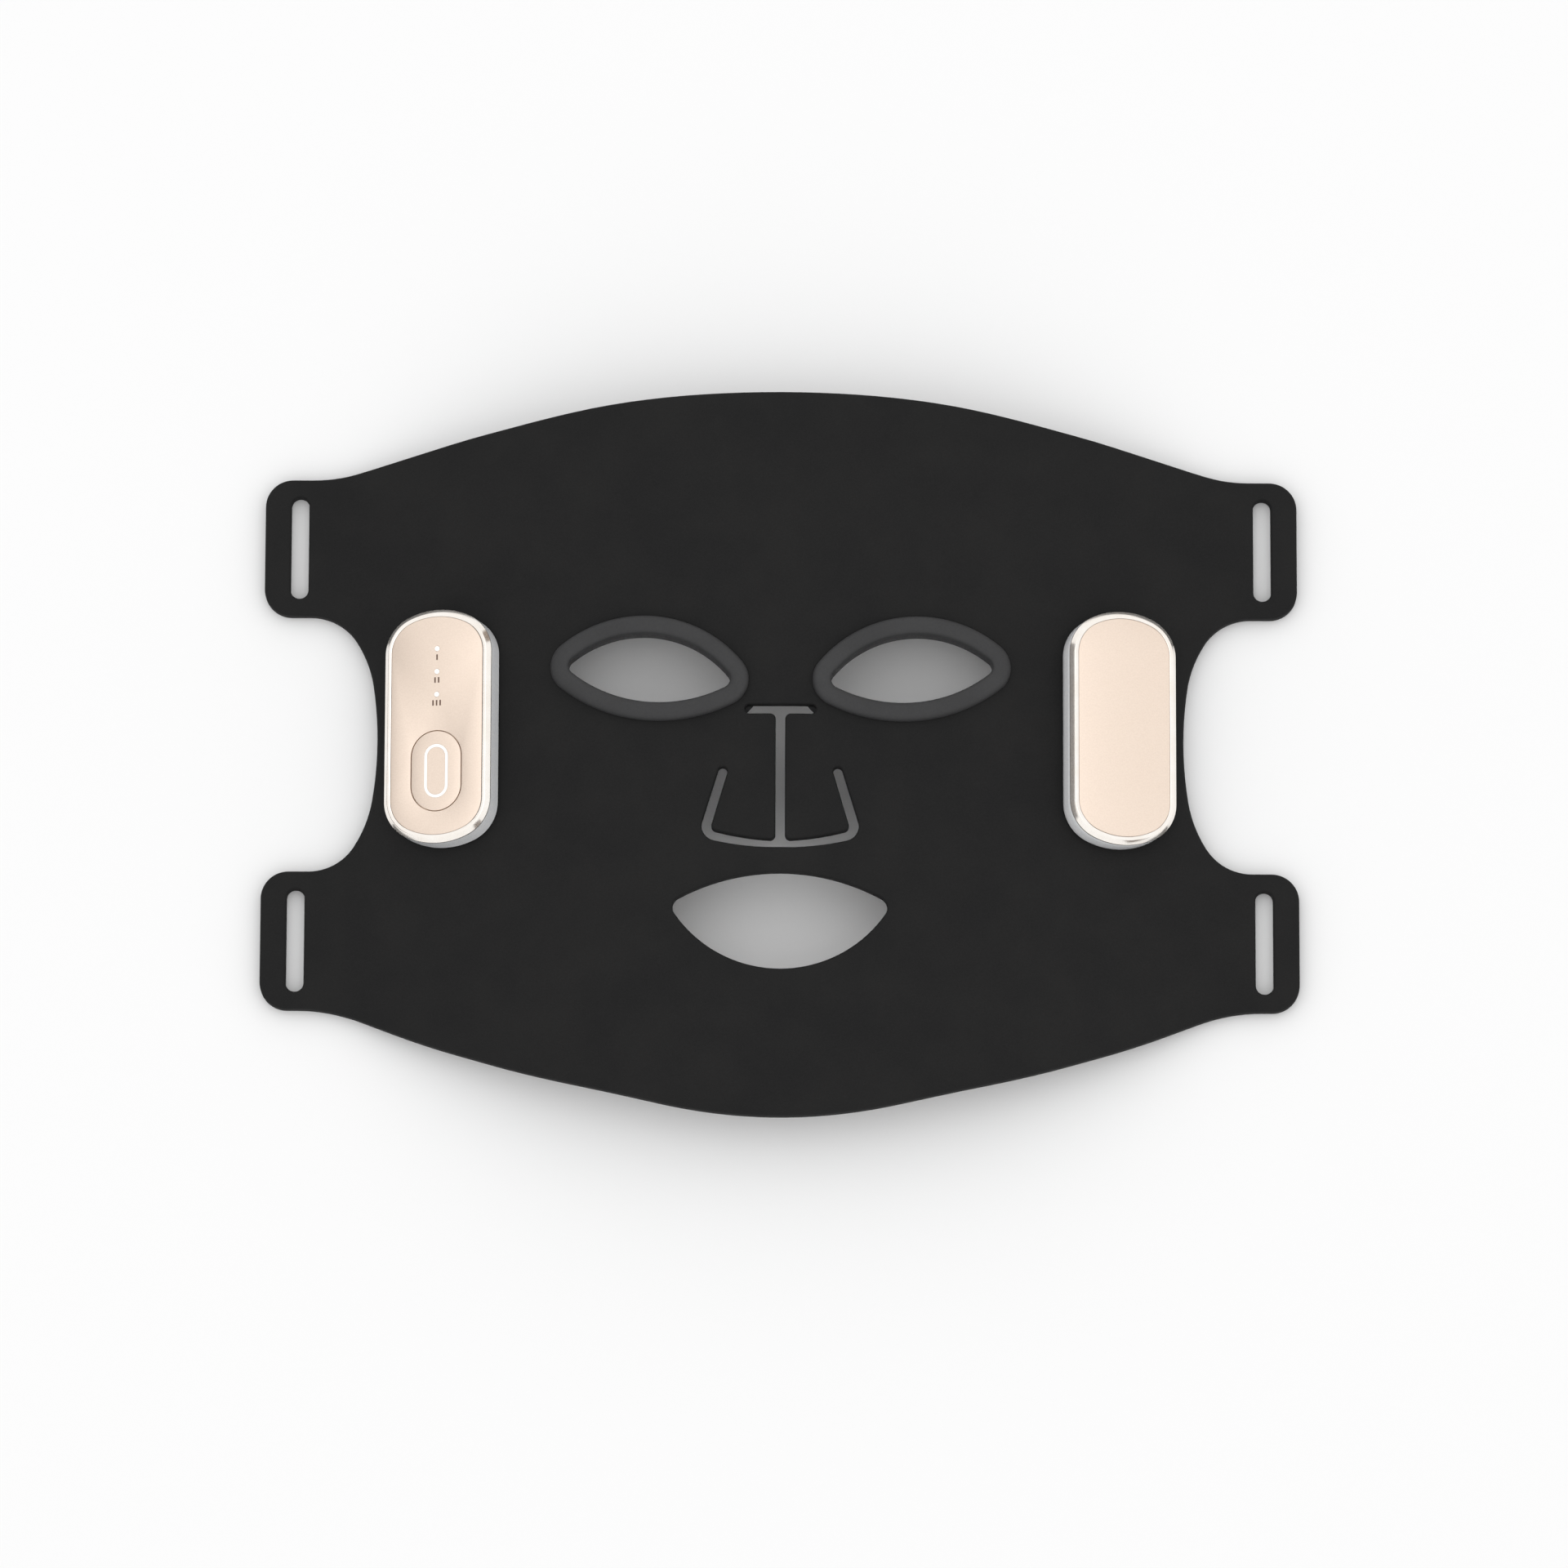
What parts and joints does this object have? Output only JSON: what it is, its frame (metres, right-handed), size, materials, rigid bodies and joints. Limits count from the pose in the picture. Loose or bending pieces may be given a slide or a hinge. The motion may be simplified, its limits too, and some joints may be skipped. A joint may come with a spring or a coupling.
{
  "type": "led face mask",
  "caption": "Flexible silicone light-therapy face mask with eye, mouth and nose openings, strap tabs and two rigid champagne pods for control and battery.",
  "frame": {"origin": "centre of the footprint, on the plane that the four strap tabs rest on", "axes": "+X towards the battery pod, +Y towards the brow, +Z out of the face side's opposite, away from the wearer"},
  "size_m": [0.2792, 0.1978, 0.0275],
  "materials": {
    "outer_silicone": "matt soft-touch black silicone",
    "liner_silicone": "translucent milky silicone",
    "cushion_silicone": "matt charcoal silicone",
    "flex_film": "amber polyimide film",
    "emitter_red": "clear epoxy over a red chip",
    "emitter_amber": "clear epoxy over an amber chip",
    "emitter_blue": "clear epoxy over a blue chip",
    "pod_shell": "pearl silver lacquer",
    "bezel_metal": "polished champagne metal",
    "satin_face": "satin champagne anodised",
    "light_white": "milky diffuser",
    "mark_ink": "printed brown ink",
    "board": "green solder mask",
    "dark_plastic": "moulded black",
    "steel": "stamped stainless steel",
    "foam": "closed-cell foam",
    "cell_foil": "laminated foil pouch"
  },
  "bodies": {
    "face_panel": {"front_skin_centre": "outer_silicone", "rear_liner_centre": "liner_silicone", "flex_circuit_centre": "flex_film", "eye_cushion_left": "cushion_silicone", "eye_cushion_right": "cushion_silicone", "emitters_red_centre": "emitter_red", "emitters_amber_centre": "emitter_amber", "emitters_blue_centre": "emitter_blue"},
    "left_wing": {"front_skin_left_wing": "outer_silicone", "rear_liner_left_wing": "liner_silicone", "flex_circuit_left_wing": "flex_film", "emitters_red_left_wing": "emitter_red", "emitters_amber_left_wing": "emitter_amber", "emitters_blue_left_wing": "emitter_blue", "control_housing": "pod_shell", "control_bezel": "bezel_metal", "control_face_plate": "satin_face", "mode_light_pipes": "light_white", "mode_light_chips": "light_white", "mode_marks": "mark_ink", "control_board": "board", "tact_switch": "dark_plastic", "controller_chip": "dark_plastic", "charge_port_shell": "steel", "charge_port_tongue": "dark_plastic", "control_gasket": "foam", "control_clamp_plate": "steel", "control_screws": "steel", "control_ribbon": "flex_film", "control_ribbon_plug": "dark_plastic"},
    "power_button": {"button_cap": "satin_face", "button_light_ring": "light_white", "switch_plunger": "dark_plastic"},
    "right_wing": {"front_skin_right_wing": "outer_silicone", "rear_liner_right_wing": "liner_silicone", "flex_circuit_right_wing": "flex_film", "emitters_red_right_wing": "emitter_red", "emitters_amber_right_wing": "emitter_amber", "emitters_blue_right_wing": "emitter_blue", "battery_housing": "pod_shell", "battery_bezel": "bezel_metal", "battery_face_plate": "satin_face", "battery_cell": "cell_foil", "battery_foam_pad": "foam", "protection_board": "board", "battery_gasket": "foam", "battery_clamp_plate": "steel", "battery_screws": "steel", "battery_ribbon": "flex_film", "battery_ribbon_plug": "dark_plastic"},
    "left_nose_flap": {"nose_flap_left": "outer_silicone", "rear_liner_left_flap": "liner_silicone", "flex_circuit_left_flap": "flex_film", "emitters_left_flap": "emitter_red"},
    "right_nose_flap": {"nose_flap_right": "outer_silicone", "rear_liner_right_flap": "liner_silicone", "flex_circuit_right_flap": "flex_film", "emitters_right_flap": "emitter_red"}
  },
  "joints": [
    {"name": "left_wing_fold", "type": "hinge", "parent": "face_panel", "child": "left_wing", "pos_m": [-0.069, 0, 0.0123], "axis": [0, -1, 0], "range_deg": [-8, 50], "stiffness_Nm_per_rad": 2},
    {"name": "right_wing_fold", "type": "hinge", "parent": "face_panel", "child": "right_wing", "pos_m": [0.069, 0, 0.0123], "axis": [0, 1, 0], "range_deg": [-8, 50], "stiffness_Nm_per_rad": 2},
    {"name": "button_press", "type": "slide", "parent": "left_wing", "child": "power_button", "axis": [0.2588, 0, -0.9659], "range_m": [0, 0.0004], "stiffness_N_per_m": 700},
    {"name": "left_nose_flap_lift", "type": "hinge", "parent": "face_panel", "child": "left_nose_flap", "pos_m": [-0.01206, 0.00191, 0.02517], "axis": [-0.3318, -0.9433, -0.012], "range_deg": [0, 55], "stiffness_Nm_per_rad": 0.03},
    {"name": "right_nose_flap_lift", "type": "hinge", "parent": "face_panel", "child": "right_nose_flap", "pos_m": [0.01206, 0.00191, 0.02517], "axis": [-0.3318, 0.9433, 0.012], "range_deg": [0, 55], "stiffness_Nm_per_rad": 0.03}
  ]
}
